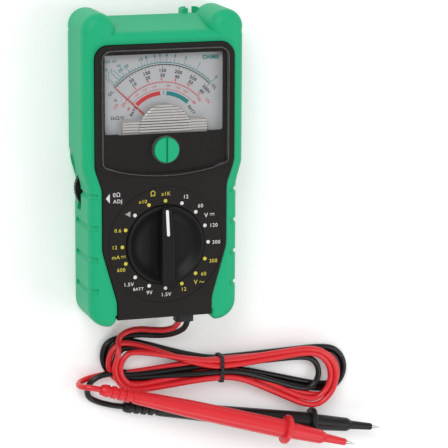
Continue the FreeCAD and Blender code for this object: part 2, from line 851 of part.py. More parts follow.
def make_board_parts():
    """Resistors, diodes and a capacitor hang under the board; the buzzer and the fuse beside them."""
    level = value("board_level")
    resistors = []
    for column in range(5):
        for line in range(2):
            x = 2.5 + 4.6 * column
            y = -8.0 - 12.5 * line
            body = rod(x, y - 3.2, level - 1.6, 1.15, 6.4, Vector(0, 1, 0))
            legs = [rod(x, y + end * 4.6, level - 1.6, 0.3, 1.6) for end in (-1, 1)]
            wire = rod(x, y - 4.6, level - 1.6, 0.3, 9.2, Vector(0, 1, 0))
            resistors.append(body.fuse(legs + [wire]))
    solid_node("resistors", resistors)
    diodes = []
    for x in (-8.5, -4.5):
        body = rod(x, -10.1, level - 1.3, 0.9, 4.2, Vector(0, 1, 0))
        legs = [rod(x, -8.0 + end * 3.4, level - 1.3, 0.25, 1.3) for end in (-1, 1)]
        wire = rod(x, -11.4, level - 1.3, 0.25, 6.8, Vector(0, 1, 0))
        diodes.append(body.fuse(legs + [wire]))
    solid_node("diodes", diodes)
    solid_node("capacitor", [rod(-6.5, -19.0, level - 7.0, 2.5, 7.0)])
    buzzer = rod(-14.0, -37.0, level - 6.5, 6.0, 6.5).cut(rod(-14.0, -37.0, level - 7.5, 1.0, 3.0))
    solid_node("buzzer", [buzzer])
    fuse_level = level - 1.0 - value("fuse_radius")
    start = -3.0
    length = value("fuse_length")
    glass = rod(start + 5.0, -42.0, fuse_level, value("fuse_radius") - 0.2, length - 10.0, Vector(1, 0, 0))
    caps = [rod(x, -42.0, fuse_level, value("fuse_radius"), 5.0, Vector(1, 0, 0))
            for x in (start, start + length - 5.0)]
    solid_node("fuse", [glass.fuse(caps)])
    clips = []
    for x in (start + 0.8, start + length - 4.2):
        ring = rod(x, -42.0, fuse_level, 2.95, 3.4, Vector(1, 0, 0))
        ring = ring.cut(rod(x - 1.0, -42.0, fuse_level, 2.55, 6.0, Vector(1, 0, 0)))
        ring = ring.cut(bar(x - 1.0, -43.7, fuse_level - 4.0, 6.0, 3.4, 3.0))
        foot = bar(x, -43.0, fuse_level + 2.7, 3.4, 2.0, level - fuse_level - 2.7)
        clips.append(ring.fuse(foot))
    solid_node("fuse_clips", clips)


def make_ohm_adjuster():
    """The thumbwheel on its shaft, and the potentiometer under the board that the shaft turns."""
    body = new_body("ohm_adjust_wheel")
    x = value("wheel_across")
    y = value("wheel_along")
    radius = value("wheel_radius")
    base = value("wheel_base")
    thick = value("wheel_thick")
    cylinder(body, x, y, radius, base, base + thick, "wheel_radius", "wheel_base")
    teeth = ring_places(44, radius + 0.25, x, y)
    cut_cylinders(body, teeth, 0.5, base - 1.0, base + thick + 1.0)
    cylinder(body, x, y, 1.5, base + thick - 0.5, 19.5)
    level = value("board_level")
    block = bar(x - 2.8, y - 4.0, 15.6, 6.6, 8.0, level - 15.6).cut(rod(x, y, 15.0, 1.56, 5.0))
    solid_node("adjust_pot", [block])


def make_battery():
    """One AA cell across the bottom of the case, between a flat contact and a coil one."""
    length = value("cell_length")
    level = value("case_back") + 1.9 + value("cell_radius")
    y = -58.4
    can = rod(-length / 2, y, level, value("cell_radius"), length, Vector(1, 0, 0))
    button = rod(length / 2 - 0.1, y, level, 2.7, 1.1, Vector(1, 0, 0))
    solid_node("battery_cell", [can.fuse(button)])
    flat = bar(length / 2 + 1.05, y - 4.0, level - 5.0, 0.5, 8.0, 10.0)
    plate = bar(-length / 2 - 3.3, y - 4.0, level - 5.0, 0.5, 8.0, 10.0)
    rings = [Part.makeTorus(3.4 - 0.45 * turn, 0.35, Vector(-length / 2 - 2.55 + 0.45 * turn, y, level),
                            Vector(1, 0, 0)) for turn in range(5)]
    solid_node("battery_contacts", [flat, plate.fuse(rings)])


# ---------------------------------------------------------------- the leads and probes

def make_lead_gland():
    """A flanged rubber block with a grooved neck held in the case's bottom wall."""
    body = new_body("lead_gland")
    x = value("gland_across")
    level = value("gland_level")
    wall = value("case_bottom")
    sketch = new_sketch(body, -wall, plane="XZ_Plane")
    draw_outline(sketch, box_outline(x - 5.2, level - 4.2, x + 5.2, level + 4.2, 1.0))
    pad(body, sketch, 2.0)
    sketch = new_sketch(body, -wall + 1.9, plane="XZ_Plane")
    draw_outline(sketch, box_outline(x - 4.3, level - 3.4, x + 4.3, level + 3.4, 1.6))
    pad(body, sketch, 4.4)
    sketch = new_sketch(body, -wall - 2.0, plane="XZ_Plane")
    draw_outline(sketch, box_outline(x - 3.9, level - 0.9, x + 3.9, level + 2.9))
    pad(body, sketch, 2.1)


def tube_path(points):
    """Straight runs joined by tangent arcs, each as large as its two runs allow."""
    path = [Vector(*point) for point in points]
    edges = []
    radii = []
    last = path[0]
    for before, here, after in zip(path, path[1:], path[2:]):
        back = before - here
        ahead = after - here
        turn = math.pi - back.getAngle(ahead)
        shorter = min(back.Length, ahead.Length)
        radius = 0.45 * shorter / math.tan(turn / 2)
        radii.append(radius)
        back.normalize()
        ahead.normalize()
        start = here + back * 0.45 * shorter
        end = here + ahead * 0.45 * shorter
        inward = (back + ahead).normalize()
        middle = here + inward * (radius / math.cos(turn / 2) - radius)
        edges.append(Part.LineSegment(last, start).toShape())
        edges.append(Part.Arc(start, middle, end).toShape())
        last = end
    edges.append(Part.LineSegment(last, path[-1]).toShape())
    return Part.Wire(edges), radii


def make_lead(label, points):
    """A round lead along its route, checked against its section times its length."""
    wire, radii = tube_path(points)
    radius = value("lead_diameter") / 2
    start = Vector(*points[0])
    direction = Vector(*points[1]) - start
    profile = Part.Wire(Part.makeCircle(radius, start, direction))
    shape = wire.makePipeShell([profile], True, True)
    expected = math.pi * radius ** 2 * wire.Length
    print(f"{label}: length {wire.Length:.1f}, radii", " ".join(f"{item:.1f}" for item in radii),
          f"volume ratio {shape.Volume / expected:.4f}")
    if abs(shape.Volume / expected - 1) > 0.01:
        raise RuntimeError(f"{label} is not a clean tube")
    solid_node(label, [shape])


RED_START = [(11.4, -74.4, 18.0), (10.8, -77.8, 16.4), (6.8, -80.0, 13.0), (1.6, -80.4, 9.4),
             (-4.0, -80.2, 6.4), (-9.4, -81.2, 4.4), (-14.2, -84.6, 3.4)]
BLACK_START = [(15.6, -74.4, 18.0), (15.5, -78.4, 16.0), (12.8, -81.8, 11.8), (8.4, -84.2, 6.8),
               (3.0, -84.8, 3.2), (-3.0, -84.2, 1.8), (-8.8, -84.6, 1.7)]
RED_TAIL = [(-9.5, -102.7, 1.6), (-17.2, -102.2, 1.5), (-24.0, -102.9, 1.5), (-30.6, -104.1, 2.2),
            (-34.4, -104.8, 6.2), (-34.2, -104.8, 11.4), (-30.4, -104.5, 14.8), (-25.5, -105.8, 15.0)]
BLACK_TAIL = [(-8.0, -103.4, 4.6), (-15.2, -101.5, 4.8), (-22.0, -101.5, 5.1), (-27.2, -103.7, 5.2),
              (-29.4, -108.1, 4.0), (-28.4, -112.8, 1.8), (-24.0, -115.4, 1.7), (-19.6, -116.7, 2.9),
              (-15.7, -117.6, 3.7), (-11.55, -118.25, 3.84)]


def make_leads():
    make_lead("red_lead", RED_START)
    make_lead("black_lead", BLACK_START)
    make_lead("red_lead_tail", RED_TAIL)
    make_lead("black_lead_tail", BLACK_TAIL)


def make_lead_hank():
    """The outer shape of the coiled leads: two fans of turns drawn together by the tie."""
    body = new_body("lead_hank")
    outline = [(-23.5, -95.0, 8.0), (-18.0, -79.6, 8.0), (4.0, -83.0, 30.0), (35.5, -99.9, 30.0),
               (62.0, -88.5, 26.0), (92.0, -92.5, 16.0), (101.5, -110.0, 10.0), (95.0, -125.5, 13.0),
               (68.0, -123.5, 30.0), (35.5, -106.7, 30.0), (4.0, -111.8, 30.0), (-18.5, -109.5, 8.0)]
    low = 0.8
    high = 9.6
    prism(body, outline, low, high)
    for level in (low, high):
        round_edges(body, at_level(level), 2.6)


def make_twist_tie():
    """A covered wire wound once round the hank's waist."""
    tie = rounded_bar(bar(34.2, -109.5, 0.0, 2.6, 14.0, 10.6), 3.1)
    hollow = rounded_bar(bar(33.2, -108.8, 0.7, 4.6, 12.6, 9.2), 2.4)
    solid_node("twist_tie", [tie.cut(hollow)])


def rounded_bar(box, radius):
    """A box with the four edges that run along X rounded."""
    along = [edge for edge in box.Edges if edge.BoundBox.XLength > 1.0]
    return box.makeFillet(radius, along)


PROBE_PLACES = {
    "red": (Vector(-25.5, -105.8, 15.0), Vector(99.6, -142.25, 19.2)),
    "black": (Vector(-11.55, -118.25, 3.84), Vector(117.28, -138.59, 8.31)),
}


def revolved(profile):
    """Turn an outline of (distance along X, radius) points about X."""
    points = [Vector(along, 0.0, radius) for along, radius in profile]
    face = Part.Face(Part.makePolygon(points + [points[0]]))
    return face.revolve(Vector(), Vector(1, 0, 0), 360)


def make_probe(colour):
    """A probe from the end of its lead to its tip, each piece made along X and then laid in place."""
    start, end = PROBE_PLACES[colour]
    laid = Placement(start, Rotation(Vector(1, 0, 0), end - start))
    profile = [(0.0, 0.0), (0.0, 2.4)]
    for rib in range(4):
        along = 1.8 + 3.5 * rib
        profile += [(along, 2.9 + 0.08 * rib), (along + 2.0, 3.0 + 0.08 * rib), (along + 2.2, 2.4),
                    (along + 3.3, 2.4)]
    profile += [(16.4, 3.1), (18.0, 3.2), (18.0, 0.0)]
    solid_node(f"{colour}_probe_boot", [revolved(profile)], laid)
    grip = value("probe_radius")
    guard = value("guard_radius")
    ring = value("guard_place")
    handle = [(18.05, 0.0), (18.05, 3.3), (22.0, 3.4), (45.0, grip - 0.25), (88.0, grip), (ring - 1.4, grip)]
    handle += [(ring - 1.2, guard - 0.4), (ring - 0.7, guard), (ring + 0.7, guard), (ring + 1.2, guard - 0.4)]
    handle += [(ring + 1.4, 4.0), (ring + 18.2, 3.3), (ring + 20.6, 2.15), (ring + 30.9, 1.65),
               (ring + 31.2, 1.45), (ring + 31.2, 0.0)]
    solid_node(f"{colour}_probe_handle", [revolved(handle)], laid)
    needle = [(ring + 31.25, 0.0), (ring + 31.25, 1.1), (ring + 36.1, 0.12), (ring + 36.2, 0.0)]
    solid_node(f"{colour}_probe_tip", [revolved(needle)], laid)


# ---------------------------------------------------------------- build, check and write

def check():
    """Stop if any object failed or any sub-part has no valid solid."""
    doc.recompute()
    for item in doc.Objects:
        if {"Invalid", "Error"} & set(item.State):
            raise RuntimeError(f"{item.Name} of {item.Label} failed: {item.State}")
    for node in nodes:
        if node.Shape.isNull() or not node.Shape.isValid() or not node.Shape.Solids:
            raise RuntimeError(f"{node.Label} has no valid solid")


def write():
    os.makedirs("parts", exist_ok=True)
    for node in nodes:
        node.Shape.exportStep(f"parts/{node.Label}.step")
        box = node.Shape.BoundBox
        spans = [f"{low:.1f} {high:.1f}" for low, high in
                 ((box.XMin, box.XMax), (box.YMin, box.YMax), (box.ZMin, box.ZMax))]
        print(f"{node.Label}: {len(node.Shape.Solids)} solid, {node.Shape.Volume:.1f} mm3,", *spans)


make_holster()
make_rear_case()
make_front_case()
make_window_cover()
make_case_screws()
make_dial_plate()
make_movement_cover()
make_needle()
make_moving_coil()
make_magnet_system()
make_movement_frame()
make_jewel_screws()
make_hairsprings()
make_zero_lever()
make_zero_screw()
make_range_knob()
make_knob_pointer()
make_switch_rotor()
make_wipers()
make_detents()
make_circuit_board()
make_board_parts()
make_ohm_adjuster()
make_battery()
make_lead_gland()
make_leads()
make_lead_hank()
make_twist_tie()
for shade in ("red", "black"):
    make_probe(shade)
check()
write()
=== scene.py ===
import json
import math

import bmesh
import bpy
from mathutils import Matrix, Vector


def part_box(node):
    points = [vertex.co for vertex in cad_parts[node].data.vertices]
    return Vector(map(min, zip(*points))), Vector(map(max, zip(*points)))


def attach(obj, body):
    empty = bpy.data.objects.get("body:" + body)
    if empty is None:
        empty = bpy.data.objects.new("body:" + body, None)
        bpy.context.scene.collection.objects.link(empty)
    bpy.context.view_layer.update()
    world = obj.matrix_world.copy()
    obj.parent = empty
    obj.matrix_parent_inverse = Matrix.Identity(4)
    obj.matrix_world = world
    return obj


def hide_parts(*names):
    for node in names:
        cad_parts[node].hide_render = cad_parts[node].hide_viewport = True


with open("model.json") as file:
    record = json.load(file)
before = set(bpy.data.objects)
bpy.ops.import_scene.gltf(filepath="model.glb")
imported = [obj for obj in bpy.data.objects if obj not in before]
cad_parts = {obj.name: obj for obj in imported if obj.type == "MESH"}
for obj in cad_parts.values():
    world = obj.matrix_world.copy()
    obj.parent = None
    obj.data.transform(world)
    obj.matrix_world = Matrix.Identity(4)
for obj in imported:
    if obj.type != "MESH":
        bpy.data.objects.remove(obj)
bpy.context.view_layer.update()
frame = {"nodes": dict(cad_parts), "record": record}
# Sizes and places are named in millimetres, and MM turns them into metres. The camera's distance, the
# lights and the floor's reach are in metres.
MM = 0.001
nodes = frame["nodes"]
collection = bpy.context.scene.collection


# ---------------------------------------------------------------- the camera

KNOB_Y = -34.0
KNOB_CENTRE = Vector((0.0, KNOB_Y, 35.0)) * MM
# The directions from the knob to the camera, and of the view's right and up.
CAMERA_FROM = Vector((-0.2768, 0.2199, 0.9354))
CAMERA_RIGHT = Vector((0.9588, 0.0, 0.2840))
CAMERA_UP = Vector((0.0624, 0.9755, -0.2108))
CAMERA_DISTANCE = 1.1
CAMERA_LENS = 194.5
# How far the middle of the view lies from the knob.
AIM_RIGHT = 26.45
AIM_UP = 9.45


def make_camera():
    data = bpy.data.cameras.new("camera")
    data.lens = CAMERA_LENS
    data.sensor_width = 36.0
    data.clip_start = 0.05
    data.clip_end = 20.0
    camera = bpy.data.objects.new("camera", data)
    collection.objects.link(camera)
    place = KNOB_CENTRE + CAMERA_FROM * CAMERA_DISTANCE
    target = KNOB_CENTRE + CAMERA_RIGHT * AIM_RIGHT * MM + CAMERA_UP * AIM_UP * MM
    back = (place - target).normalized()
    right = CAMERA_UP.cross(back).normalized()
    up = back.cross(right)
    turn = Matrix((right, up, back)).transposed()
    camera.matrix_world = Matrix.Translation(place) @ turn.to_4x4()
    bpy.context.scene.camera = camera


make_camera()


# ---------------------------------------------------------------- materials

ROUGHNESS_SPREAD = 0.06
BUMP_HEIGHT = 0.1


def new_material(name, colour, roughness, metallic=0.0, coat=0.0, specular=0.5, bump=0.0, grain=900.0,
                 shade=0.04, alpha=1.0):
    """A principled material with a procedural noise of the scale grain.

    The noise varies the colour by the share shade, the roughness a little, and the surface by bump.
    """
    material = bpy.data.materials.new(name)
    material.use_nodes = True
    tree = material.node_tree
    shader = tree.nodes["Principled BSDF"]
    shader.inputs["Metallic"].default_value = metallic
    shader.inputs["Coat Weight"].default_value = coat
    shader.inputs["Specular IOR Level"].default_value = specular
    shader.inputs["Alpha"].default_value = alpha
    place = tree.nodes.new("ShaderNodeTexCoord")
    noise = tree.nodes.new("ShaderNodeTexNoise")
    noise.inputs["Scale"].default_value = grain
    noise.inputs["Detail"].default_value = 3.0
    tree.links.new(place.outputs["Object"], noise.inputs["Vector"])
    tint = tree.nodes.new("ShaderNodeMapRange")
    tint.inputs["To Min"].default_value = 1.0 - shade
    tint.inputs["To Max"].default_value = 1.0 + shade
    tree.links.new(noise.outputs["Fac"], tint.inputs["Value"])
    mix = tree.nodes.new("ShaderNodeVectorMath")
    mix.operation = "SCALE"
    mix.inputs[0].default_value = colour
    tree.links.new(tint.outputs["Result"], mix.inputs["Scale"])
    tree.links.new(mix.outputs["Vector"], shader.inputs["Base Color"])
    rough = tree.nodes.new("ShaderNodeMapRange")
    rough.inputs["To Min"].default_value = max(0.02, roughness - ROUGHNESS_SPREAD)
    rough.inputs["To Max"].default_value = min(1.0, roughness + ROUGHNESS_SPREAD)
    tree.links.new(noise.outputs["Fac"], rough.inputs["Value"])
    tree.links.new(rough.outputs["Result"], shader.inputs["Roughness"])
    if bump:
        relief = tree.nodes.new("ShaderNodeBump")
        relief.inputs["Strength"].default_value = bump
        relief.inputs["Distance"].default_value = BUMP_HEIGHT * MM
        tree.links.new(noise.outputs["Fac"], relief.inputs["Height"])
        tree.links.new(relief.outputs["Normal"], shader.inputs["Normal"])
    return material


def rib_shading(material, first, pitch, width, depth):
    """Paint shade into the narrow grooves between a part's ribs, which lie across Y every pitch from first.
    """
    tree = material.node_tree
    shader = tree.nodes["Principled BSDF"]
    colour = shader.inputs["Base Color"].links[0].from_socket
    place = tree.nodes.new("ShaderNodeTexCoord")
    split = tree.nodes.new("ShaderNodeSeparateXYZ")
    tree.links.new(place.outputs["Object"], split.inputs["Vector"])
    last = split.outputs["Y"]
    for operation, number in (("SUBTRACT", first * MM), ("DIVIDE", pitch * MM), ("FRACT", 0.0),
                              ("LESS_THAN", width / pitch), ("MULTIPLY", -depth), ("ADD", 1.0)):
        step = tree.nodes.new("ShaderNodeMath")
        step.operation = operation
        step.inputs[1].default_value = number
        tree.links.new(last, step.inputs[0])
        last = step.outputs["Value"]
    mix = tree.nodes.new("ShaderNodeVectorMath")
    mix.operation = "SCALE"
    tree.links.new(colour, mix.inputs[0])
    tree.links.new(last, mix.inputs["Scale"])
    tree.links.new(mix.outputs["Vector"], shader.inputs["Base Color"])


GREEN = (0.012, 0.44, 0.200)

MATERIALS = {
    "holster_green": new_material("holster_green", GREEN, 0.45, specular=0.22, bump=0.12, grain=1600,
                                  shade=0.03),
    "case_black": new_material("case_black", (0.0150, 0.0128, 0.0108), 0.55, specular=0.18, bump=0.25,
                               grain=2600),
    # The cover's bevel is a half opaque, lighter grey: a painted sheen along the clear edge.
    "clear_edge_sheen": new_material("clear_edge_sheen", (0.16, 0.16, 0.16), 0.25, alpha=0.5, shade=0.01),
    "clear_window": new_material("clear_window", (0.02, 0.02, 0.02), 0.08, alpha=0.08, shade=0.01),
    "dial_silver": new_material("dial_silver", (0.60, 0.61, 0.63), 0.45, shade=0.02),
    "cover_silver": new_material("cover_silver", (0.80, 0.77, 0.75), 0.25, metallic=0.35, shade=0.03),
    "needle_red": new_material("needle_red", (0.70, 0.03, 0.03), 0.4),
    "copper_wire": new_material("copper_wire", (0.72, 0.30, 0.13), 0.3, metallic=0.9, bump=0.5, grain=3000),
    "magnet_grey": new_material("magnet_grey", (0.16, 0.16, 0.17), 0.55, metallic=0.6),
    "steel": new_material("steel", (0.55, 0.56, 0.58), 0.3, metallic=1.0, shade=0.06),
    "die_cast": new_material("die_cast", (0.5, 0.5, 0.5), 0.45, metallic=0.9, bump=0.2),
    "brass": new_material("brass", (0.72, 0.50, 0.18), 0.28, metallic=1.0),
    "knob_black": new_material("knob_black", (0.0085, 0.0082, 0.0078), 0.45, specular=0.2, bump=0.1,
                               grain=2200),
    "screw_green": new_material("screw_green", GREEN, 0.42, specular=0.22, bump=0.1, grain=1600,
                                shade=0.03),
    "pointer_white": new_material("pointer_white", (0.88, 0.88, 0.87), 0.35, shade=0.01),
    "rotor_white": new_material("rotor_white", (0.66, 0.65, 0.60), 0.4),
    "board_tan": new_material("board_tan", (0.30, 0.19, 0.07), 0.45, bump=0.3, shade=0.1),
    "resistor_beige": new_material("resistor_beige", (0.55, 0.42, 0.25), 0.4, shade=0.12),
    "clear_glass": new_material("clear_glass", (0.8, 0.85, 0.85), 0.05, alpha=0.45, shade=0.01),
    "capacitor_blue": new_material("capacitor_blue", (0.03, 0.06, 0.18), 0.35),
    "pot_blue": new_material("pot_blue", (0.02, 0.10, 0.36), 0.35),
    "cell_wrap": new_material("cell_wrap", (0.42, 0.43, 0.44), 0.3, metallic=0.4),
    "gland_rubber": new_material("gland_rubber", (0.011, 0.011, 0.011), 0.55, bump=0.2),
    "lead_red": new_material("lead_red", (0.74, 0.014, 0.022), 0.33, coat=0.25, shade=0.03, grain=500),
    "lead_black": new_material("lead_black", (0.0045, 0.0045, 0.0048), 0.32, coat=0.12, specular=0.4,
                               shade=0.05, grain=500),
    "tie_black": new_material("tie_black", (0.022, 0.022, 0.024), 0.6, bump=0.6, grain=1800),
    "probe_red": new_material("probe_red", (0.78, 0.016, 0.026), 0.36, coat=0.15, shade=0.02, grain=700),
    "probe_black": new_material("probe_black", (0.0055, 0.0055, 0.0055), 0.4, coat=0.05, specular=0.4,
                                grain=700),
    "probe_steel": new_material("probe_steel", (0.62, 0.62, 0.62), 0.22, metallic=1.0),
    "print_white": new_material("print_white", (0.74, 0.75, 0.75), 0.5, shade=0.05),
    "print_yellow": new_material("print_yellow", (0.66, 0.56, 0.055), 0.5, shade=0.05),
    "dial_ink": new_material("dial_ink", (0.035, 0.04, 0.045), 0.6),
    "dial_red": new_material("dial_red", (0.70, 0.045, 0.055), 0.6),
    "dial_teal": new_material("dial_teal", (0.012, 0.27, 0.28), 0.6),
}

# The cover's ribs get painted shade in the grooves between them.
rib_shading(MATERIALS["cover_silver"], first=17.6, pitch=1.25, width=0.45, depth=0.4)

for item in frame["record"]["subparts"]:
    cad = nodes[item["node"]]
    cad.data.materials.clear()
    cad.data.materials.append(MATERIALS[item["material_slot"]])


# ---------------------------------------------------------------- the leads and their tie

# The leads' routes: from the gland to the hank, and from the hank to the probes.
RED_START = [(11.4, -74.4, 18.0), (10.8, -77.8, 16.4), (6.8, -80.0, 13.0), (1.6, -80.4, 9.4),
             (-4.0, -80.2, 6.4), (-9.4, -81.2, 4.4), (-14.2, -84.6, 3.4)]
BLACK_START = [(15.6, -74.4, 18.0), (15.5, -78.4, 16.0), (12.8, -81.8, 11.8), (8.4, -84.2, 6.8),
               (3.0, -84.8, 3.2), (-3.0, -84.2, 1.8), (-8.8, -84.6, 1.7)]
RED_TAIL = [(-9.5, -102.7, 1.6), (-17.2, -102.2, 1.5), (-24.0, -102.9, 1.5), (-30.6, -104.1, 2.2),
            (-34.4, -104.8, 6.2), (-34.2, -104.8, 11.4), (-30.4, -104.5, 14.8), (-25.5, -105.8, 15.0)]
BLACK_TAIL = [(-8.0, -103.4, 4.6), (-15.2, -101.5, 4.8), (-22.0, -101.5, 5.1), (-27.2, -103.7, 5.2),
              (-29.4, -108.1, 4.0), (-28.4, -112.8, 1.8), (-24.0, -115.4, 1.7), (-19.6, -116.7, 2.9),
              (-15.7, -117.6, 3.7), (-11.55, -118.25, 3.84)]
LEAD_THICKNESS = 2.8

# Each turn: left lobe (end x, top y, bottom y, z), lower strand at the tie (y, z),
# right lobe (end x, bottom y, top y, z), upper strand at the tie (y, z).
# The sizes are chosen so that the turns fan out and lie in three layers.
RED_TURNS = [
    ((-17.4, -87.2, -110.4, 7.5), (-106.7, 8.1), (94.8, -126.2, -95.2, 7.5), (-98.3, 8.1)),
    ((-14.6, -90.0, -107.8, 7.5), (-103.9, 5.15), (91.8, -122.8, -97.4, 7.5), (-101.1, 8.1)),
    ((-19.6, -85.4, -107.4, 4.6), (-106.7, 5.15), (96.2, -121.8, -98.0, 4.6), (-98.3, 5.15)),
]
BLACK_TURNS = [
    ((-21.8, -82.0, -105.4, 1.6), (-106.7, 2.2), (100.6, -119.8, -96.6, 1.6), (-98.3, 2.2)),
    ((-19.0, -84.9, -102.7, 1.6), (-103.9, 2.2), (97.6, -117.0, -99.2, 1.6), (-101.1, 2.2)),
    ((-16.4, -88.4, -104.8, 4.6), (-103.9, 8.1), (86.4, -117.8, -100.4, 4.6), (-101.1, 5.15)),
]
# Between these two places the strands run straight through the tie.
TIE_LEFT = 27.5
TIE_RIGHT = 43.5


def halfway(a, b):
    return tuple((p + q) / 2 for p, q in zip(a, b))


def lobe(end, top, bottom, level, side):
    """Points round the half circle at one end of a turn, anticlockwise seen from above.

    The side is -1 at the left and 1 at the right.
    """
    middle = (top + bottom) / 2
    reach = abs(top - bottom) / 2
    found = []
    for degrees in (-80, -40, 0, 40, 80):
        angle = math.radians(degrees)
        x = end - side * reach * (1 - math.cos(angle))
        y = middle + side * reach * math.sin(angle)
        found.append((x, y, level))
    return found


def hank_points(turns):
    """The control points of every turn, from the left end round to the left end again.

    The very first one is left out, because the route from the gland arrives in its place.
    """
    found = []
    for left, low, right, high in turns:
        left_lobe = lobe(left[0], left[1], left[2], left[3], -1)
        right_lobe = lobe(right[0], right[2], right[1], right[3], 1)
        low_left = (TIE_LEFT, *low)
        low_right = (TIE_RIGHT, *low)
        high_left = (TIE_LEFT, *high)
        high_right = (TIE_RIGHT, *high)
        found += left_lobe
        found.append(halfway(left_lobe[-1], low_left))
        found += [low_left, low_right]
        found.append(halfway(low_right, right_lobe[0]))
        found += right_lobe
        found.append(halfway(right_lobe[-1], high_right))
        found += [high_right, high_left]
    return found[1:]


def make_lead(name, points, material):
    data = bpy.data.curves.new(name, "CURVE")
    data.dimensions = "3D"
    data.bevel_depth = LEAD_THICKNESS / 2 * MM
    data.bevel_resolution = 6
    data.resolution_u = 10
    data.use_fill_caps = True
    line = data.splines.new("NURBS")
    line.points.add(len(points) - 1)
    for place, point in zip(points, line.points):
        point.co = (place[0] * MM, place[1] * MM, place[2] * MM, 1.0)
    line.order_u = 3
    line.use_endpoint_u = True
    lead = bpy.data.objects.new(name, data)
    collection.objects.link(lead)
    data.materials.append(MATERIALS[material])
    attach(lead, "meter")
    return lead


TIE_WIRE_RADIUS = 0.5
TIE_TWISTS = 9
TIE_STEPS = 160
# How far each wire winds off the middle of the pair: away from the leads, and along them.
TIE_DEEP = 0.12
TIE_WIDE = 0.62
TIE_CORNER = 2.6
TIE_SQUARENESS = 1.6


def tie_outline(half_y, half_z):
    """Points (y, z, angle) round the waist: a rectangle with rounded corners."""
    corner = TIE_CORNER * MM
    found = []
    for step in range(TIE_STEPS):
        angle = math.tau * step / TIE_STEPS
        y = max(-1.0, min(1.0, TIE_SQUARENESS * math.cos(angle))) * (half_y - corner)
        z = max(-1.0, min(1.0, TIE_SQUARENESS * math.sin(angle))) * (half_z - corner)
        found.append((y + corner * math.cos(angle), z + corner * math.sin(angle), angle))
    return found


def make_tie():
    """Two covered wires twisted together, once round the leads' waist."""
    low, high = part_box("twist_tie")
    deep = TIE_DEEP * MM
    wide = TIE_WIDE * MM
    inset = TIE_WIRE_RADIUS * MM + deep
    middle = (low + high) / 2
    outline = tie_outline((high.y - low.y) / 2 - inset, (high.z - low.z) / 2 - inset)
    data = bpy.data.curves.new("wire_tie", "CURVE")
    data.dimensions = "3D"
    data.bevel_depth = TIE_WIRE_RADIUS * MM
    data.bevel_resolution = 4
    for strand in (0, 1):
        line = data.splines.new("POLY")
        line.points.add(len(outline) - 1)
        line.use_cyclic_u = True
        for (y, z, angle), point in zip(outline, line.points):
            twist = TIE_TWISTS * angle + math.pi * strand
            out = deep * math.sin(twist)
            point.co = (middle.x + wide * math.cos(twist),
                        middle.y + y + out * math.cos(angle),
                        middle.z + z + out * math.sin(angle),
                        1.0)
    tie = bpy.data.objects.new("wire_tie", data)
    collection.objects.link(tie)
    data.materials.append(MATERIALS["tie_black"])
    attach(tie, "meter")
    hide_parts("twist_tie")
    return tie


tie = make_tie()

red_points = RED_START + hank_points(RED_TURNS) + RED_TAIL
red_lead = make_lead("red_test_lead", red_points, "lead_red")
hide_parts("red_lead", "red_lead_tail", "lead_hank")

black_points = BLACK_START + hank_points(BLACK_TURNS) + BLACK_TAIL
black_lead = make_lead("black_test_lead", black_points, "lead_black")
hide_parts("black_lead", "black_lead_tail")


# ---------------------------------------------------------------- the window cover

COVER_BEVEL = 0.45
TOP_CORNER = 4.0
LOW_CORNER = 2.6
# Where the cover's lower edge meets its sides, how far it arches down from there, and how much higher
# the low corners' centres are.
COVER_SIDE = 2.6 + COVER_BEVEL
ARCH_RISE = 4.6
LOW_CORNER_LIFT = 2.2
ARCH_STEPS = 24
CORNER_STEPS = 8
SCREW_Y = 10.0
SCREW_HOLE = 6.3
HOLE_STEPS = 48
# The part of the cover that isn't painted black, over the dial.
WINDOW = [(-28.0, 17.3), (28.0, 17.3), (28.0, 53.4), (-28.0, 53.4)]
MASK_GAP = 0.04


def corner_points(x, y, reach, first):
    """A quarter turn of a rounded corner; reach is its radius, first the angle that it starts from."""
    angles = [math.radians(first + 90 * step / CORNER_STEPS) for step in range(CORNER_STEPS + 1)]
    return [(x + reach * math.cos(angle), y + reach * math.sin(angle)) for angle in angles]


def add_loop(data, points):
    line = data.splines.new("POLY")
    line.points.add(len(points) - 1)
    for (x, y), point in zip(points, line.points):
        point.co = (x * MM, y * MM, 0.0, 1.0)
    line.use_cyclic_u = True


def cover_outline(high):
    """The cover's edge inside its bevel: two top corners, then the arch between two low corners.

    The low corners stop short of a quarter turn, and the arch short of its ends, where they meet.
    """
    half = high.x / MM - COVER_BEVEL
    top = high.y / MM - COVER_BEVEL
    low_centre = COVER_SIDE + LOW_CORNER_LIFT
    arch = []
    for step in range(3, ARCH_STEPS - 2):
        share = 2 * step / ARCH_STEPS - 1
        arch.append((half * share, COVER_SIDE - ARCH_RISE * (1 - share * share)))
    points = corner_points(half - TOP_CORNER, top - TOP_CORNER, TOP_CORNER, 0)
    points += corner_points(TOP_CORNER - half, top - TOP_CORNER, TOP_CORNER, 90)
    points += corner_points(LOW_CORNER - half, low_centre, LOW_CORNER, 180)[:7] + arch
    points += corner_points(half - LOW_CORNER, low_centre, LOW_CORNER, 270)[2:]
    return points


def screw_hole():
    angles = [math.tau * step / HOLE_STEPS for step in range(HOLE_STEPS)]
    return [(SCREW_HOLE * math.cos(angle), SCREW_Y + SCREW_HOLE * math.sin(angle)) for angle in angles]


def flat_mesh(data, level):
    """The mesh of a filled flat curve, raised to a level."""
    holder = bpy.data.objects.new(data.name, data)
    mesh = bpy.data.meshes.new_from_object(holder)
    bpy.data.objects.remove(holder)
    mesh.transform(Matrix.Translation((0.0, 0.0, level)))
    mesh.materials.clear()
    return mesh


